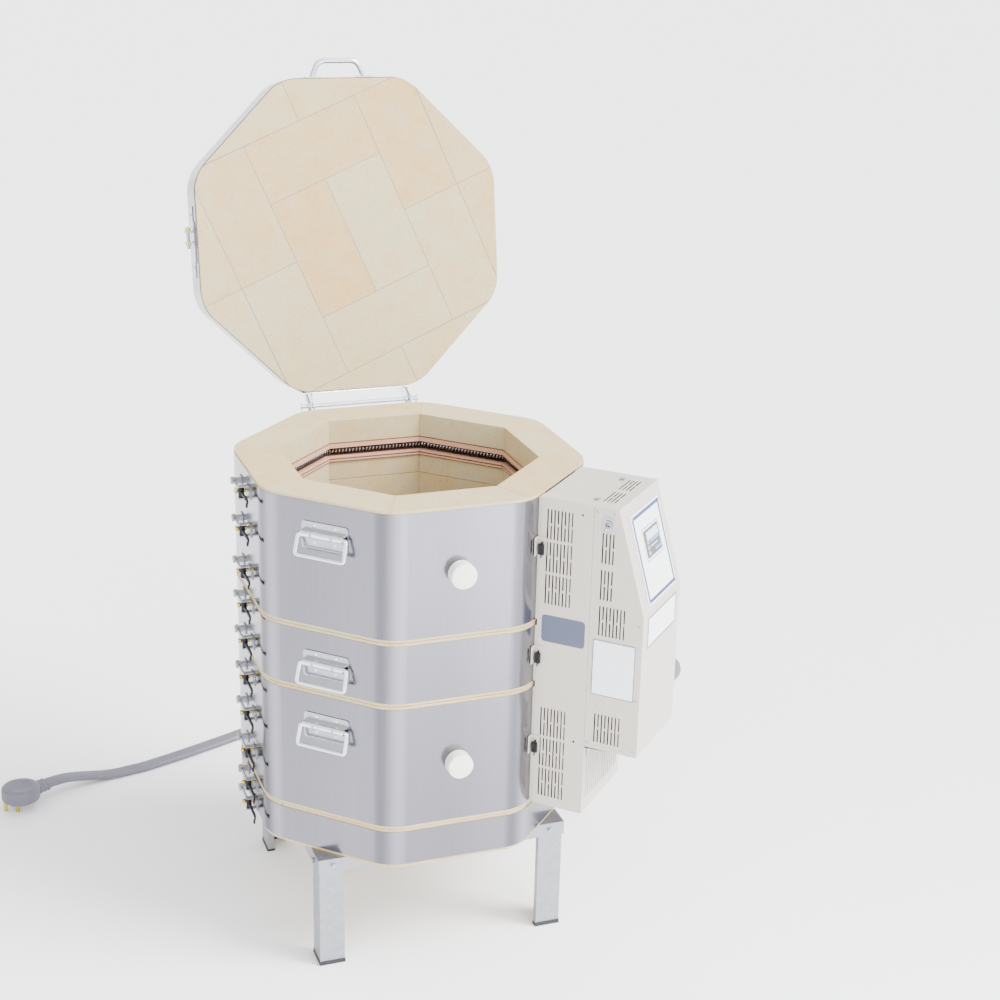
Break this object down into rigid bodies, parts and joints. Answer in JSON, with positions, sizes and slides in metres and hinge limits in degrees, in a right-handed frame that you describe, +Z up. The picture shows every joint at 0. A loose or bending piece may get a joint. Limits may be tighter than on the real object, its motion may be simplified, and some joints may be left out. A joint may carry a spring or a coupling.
{
  "type": "top-loading electric kiln",
  "caption": "Octagonal top-loading electric kiln of stacked steel-jacketed brick rings, with hinged lid, open stand, sloped side control box, bail handles, draw latches and power cord.",
  "frame": {"origin": "on the floor, under the middle of the whole kiln with its control box and open lid", "axes": "+Z up; -Y is the front face with the peepholes, and +Y the lid hinge; the control box is on the front right face"},
  "size_m": [1.1333, 1.2005, 1.4757],
  "materials": {
    "firebrick": "soft matt insulating brick",
    "stainless_jacket": "bright rolled stainless",
    "zinc_steel": "bright zinc plating",
    "galvanised_steel": "galvanised",
    "black_steel": "black oxide",
    "painted_box": "satin powder coat",
    "panel_plate": "smooth satin",
    "side_plate": "smooth satin",
    "element_holder": "hard fired, matt",
    "element_wire": "oxidised resistance wire",
    "white_ceramic": "smooth fired",
    "brass_fastener": "yellow passivated",
    "screen": "gloss",
    "circuit_board": "solder mask",
    "black_plastic": "moulded",
    "cord_plastic": "soft satin",
    "rubber_foot": "matt"
  },
  "bodies": {
    "root": {"leg_caps": "rubber_foot", "stand_legs": "galvanised_steel", "stand_frame": "galvanised_steel", "stand_bolts": "zinc_steel", "floor_slab": "firebrick", "floor_jacket": "stainless_jacket", "bottom_ring_bricks": "firebrick", "bottom_ring_jacket": "stainless_jacket", "middle_ring_bricks": "firebrick", "middle_ring_jacket": "stainless_jacket", "top_ring_bricks": "firebrick", "top_ring_jacket": "stainless_jacket", "element_holders": "element_holder", "top_heating_coil": "element_wire", "lower_heating_coils": "element_wire", "element_terminals": "zinc_steel", "thermocouple": "white_ceramic", "body_hinge_bracket": "zinc_steel", "hinge_rod": "zinc_steel", "handle_plates": "zinc_steel", "latch_brackets": "zinc_steel", "latch_draw_rods": "brass_fastener", "box_brackets": "painted_box", "rear_box": "painted_box", "rear_plate": "side_plate", "power_relays": "black_plastic", "cord_gland": "black_plastic", "power_cord": "cord_plastic", "cord_plug": "cord_plastic", "box_hinge": "zinc_steel"},
    "lid": {"lid_slab": "firebrick", "lid_band": "stainless_jacket", "lid_clamp": "zinc_steel", "lid_handle": "zinc_steel", "lid_hinge_leaf": "zinc_steel"},
    "control_box": {"front_box": "painted_box", "faceplate": "panel_plate", "touch_screen": "screen", "controller_board": "circuit_board", "faceplate_screws": "zinc_steel", "side_plates": "side_plate", "accessory_socket": "cord_plastic"},
    "toggle": {"switch_toggle": "zinc_steel"},
    "upper_plug": {"upper_peephole_plug": "white_ceramic"},
    "lower_plug": {"lower_peephole_plug": "white_ceramic"},
    "top_left_bail_body": {"top_left_bail": "zinc_steel"},
    "middle_left_bail_body": {"middle_left_bail": "zinc_steel"},
    "bottom_left_bail_body": {"bottom_left_bail": "zinc_steel"},
    "top_right_bail_body": {"top_right_bail": "zinc_steel"},
    "middle_right_bail_body": {"middle_right_bail": "zinc_steel"},
    "bottom_right_bail_body": {"bottom_right_bail": "zinc_steel"},
    "latch_lever_1_body": {"latch_lever_1": "black_steel"},
    "latch_lever_2_body": {"latch_lever_2": "black_steel"},
    "latch_lever_3_body": {"latch_lever_3": "black_steel"},
    "latch_lever_4_body": {"latch_lever_4": "black_steel"},
    "latch_lever_5_body": {"latch_lever_5": "black_steel"},
    "latch_lever_6_body": {"latch_lever_6": "black_steel"},
    "latch_lever_7_body": {"latch_lever_7": "black_steel"},
    "latch_lever_8_body": {"latch_lever_8": "black_steel"},
    "latch_lever_9_body": {"latch_lever_9": "black_steel"},
    "latch_lever_10_body": {"latch_lever_10": "black_steel"}
  },
  "joints": [
    {"name": "lid_hinge", "type": "hinge", "parent": "root", "child": "lid", "pos_m": [-0.0637, 0.2669, 0.85445], "axis": [1, 0, 0], "range_deg": [0, 100]},
    {"name": "control_box_hinge", "type": "hinge", "parent": "root", "child": "control_box", "pos_m": [0.21221, -0.32161, 0.4125], "axis": [0.7071, 0.7071, 0], "range_deg": [0, 90]},
    {"name": "switch_toggle_pivot", "type": "hinge", "parent": "control_box", "child": "toggle", "pos_m": [0.1647, -0.39784, 0.8234], "axis": [-0.7071, 0.7071, 0], "range_deg": [0, 60]},
    {"name": "upper_plug_draw", "type": "slide", "parent": "root", "child": "upper_plug", "axis": [0, -1, 0], "range_m": [0, 0.09]},
    {"name": "lower_plug_draw", "type": "slide", "parent": "root", "child": "lower_plug", "axis": [0, -1, 0], "range_m": [0, 0.09]},
    {"name": "top_left_bail_swing", "type": "hinge", "parent": "root", "child": "top_left_bail_body", "pos_m": [-0.27322, -0.25522, 0.7967], "axis": [-0.7071, 0.7071, 0], "range_deg": [0, 75]},
    {"name": "middle_left_bail_swing", "type": "hinge", "parent": "root", "child": "middle_left_bail_body", "pos_m": [-0.27322, -0.25522, 0.5681], "axis": [-0.7071, 0.7071, 0], "range_deg": [0, 75]},
    {"name": "bottom_left_bail_swing", "type": "hinge", "parent": "root", "child": "bottom_left_bail_body", "pos_m": [-0.27322, -0.25522, 0.4538], "axis": [-0.7071, 0.7071, 0], "range_deg": [0, 75]},
    {"name": "top_right_bail_swing", "type": "hinge", "parent": "root", "child": "top_right_bail_body", "pos_m": [0.14582, 0.16382, 0.7967], "axis": [0.7071, -0.7071, 0], "range_deg": [0, 75]},
    {"name": "middle_right_bail_swing", "type": "hinge", "parent": "root", "child": "middle_right_bail_body", "pos_m": [0.14582, 0.16382, 0.5681], "axis": [0.7071, -0.7071, 0], "range_deg": [0, 75]},
    {"name": "bottom_right_bail_swing", "type": "hinge", "parent": "root", "child": "bottom_right_bail_body", "pos_m": [0.14582, 0.16382, 0.4538], "axis": [0.7071, -0.7071, 0], "range_deg": [0, 75]},
    {"name": "latch_lever_1_pivot", "type": "hinge", "parent": "root", "child": "latch_lever_1_body", "pos_m": [-0.3645, -0.0697, 0.8187], "axis": [0, 0, -1], "range_deg": [0, 95]},
    {"name": "latch_lever_2_pivot", "type": "hinge", "parent": "root", "child": "latch_lever_2_body", "pos_m": [-0.3645, -0.0697, 0.7507], "axis": [0, 0, -1], "range_deg": [0, 95]},
    {"name": "latch_lever_3_pivot", "type": "hinge", "parent": "root", "child": "latch_lever_3_body", "pos_m": [-0.3645, -0.0697, 0.6737], "axis": [0, 0, -1], "range_deg": [0, 95]},
    {"name": "latch_lever_4_pivot", "type": "hinge", "parent": "root", "child": "latch_lever_4_body", "pos_m": [-0.3645, -0.0697, 0.6102], "axis": [0, 0, -1], "range_deg": [0, 95]},
    {"name": "latch_lever_5_pivot", "type": "hinge", "parent": "root", "child": "latch_lever_5_body", "pos_m": [-0.3645, -0.0697, 0.5427], "axis": [0, 0, -1], "range_deg": [0, 95]},
    {"name": "latch_lever_6_pivot", "type": "hinge", "parent": "root", "child": "latch_lever_6_body", "pos_m": [-0.3645, -0.0697, 0.4737], "axis": [0, 0, -1], "range_deg": [0, 95]},
    {"name": "latch_lever_7_pivot", "type": "hinge", "parent": "root", "child": "latch_lever_7_body", "pos_m": [-0.3645, -0.0697, 0.4047], "axis": [0, 0, -1], "range_deg": [0, 95]},
    {"name": "latch_lever_8_pivot", "type": "hinge", "parent": "root", "child": "latch_lever_8_body", "pos_m": [-0.3645, -0.0697, 0.3307], "axis": [0, 0, -1], "range_deg": [0, 95]},
    {"name": "latch_lever_9_pivot", "type": "hinge", "parent": "root", "child": "latch_lever_9_body", "pos_m": [-0.3645, -0.0697, 0.2667], "axis": [0, 0, -1], "range_deg": [0, 95]},
    {"name": "latch_lever_10_pivot", "type": "hinge", "parent": "root", "child": "latch_lever_10_body", "pos_m": [-0.3645, -0.0697, 0.2282], "axis": [0, 0, -1], "range_deg": [0, 95]}
  ]
}
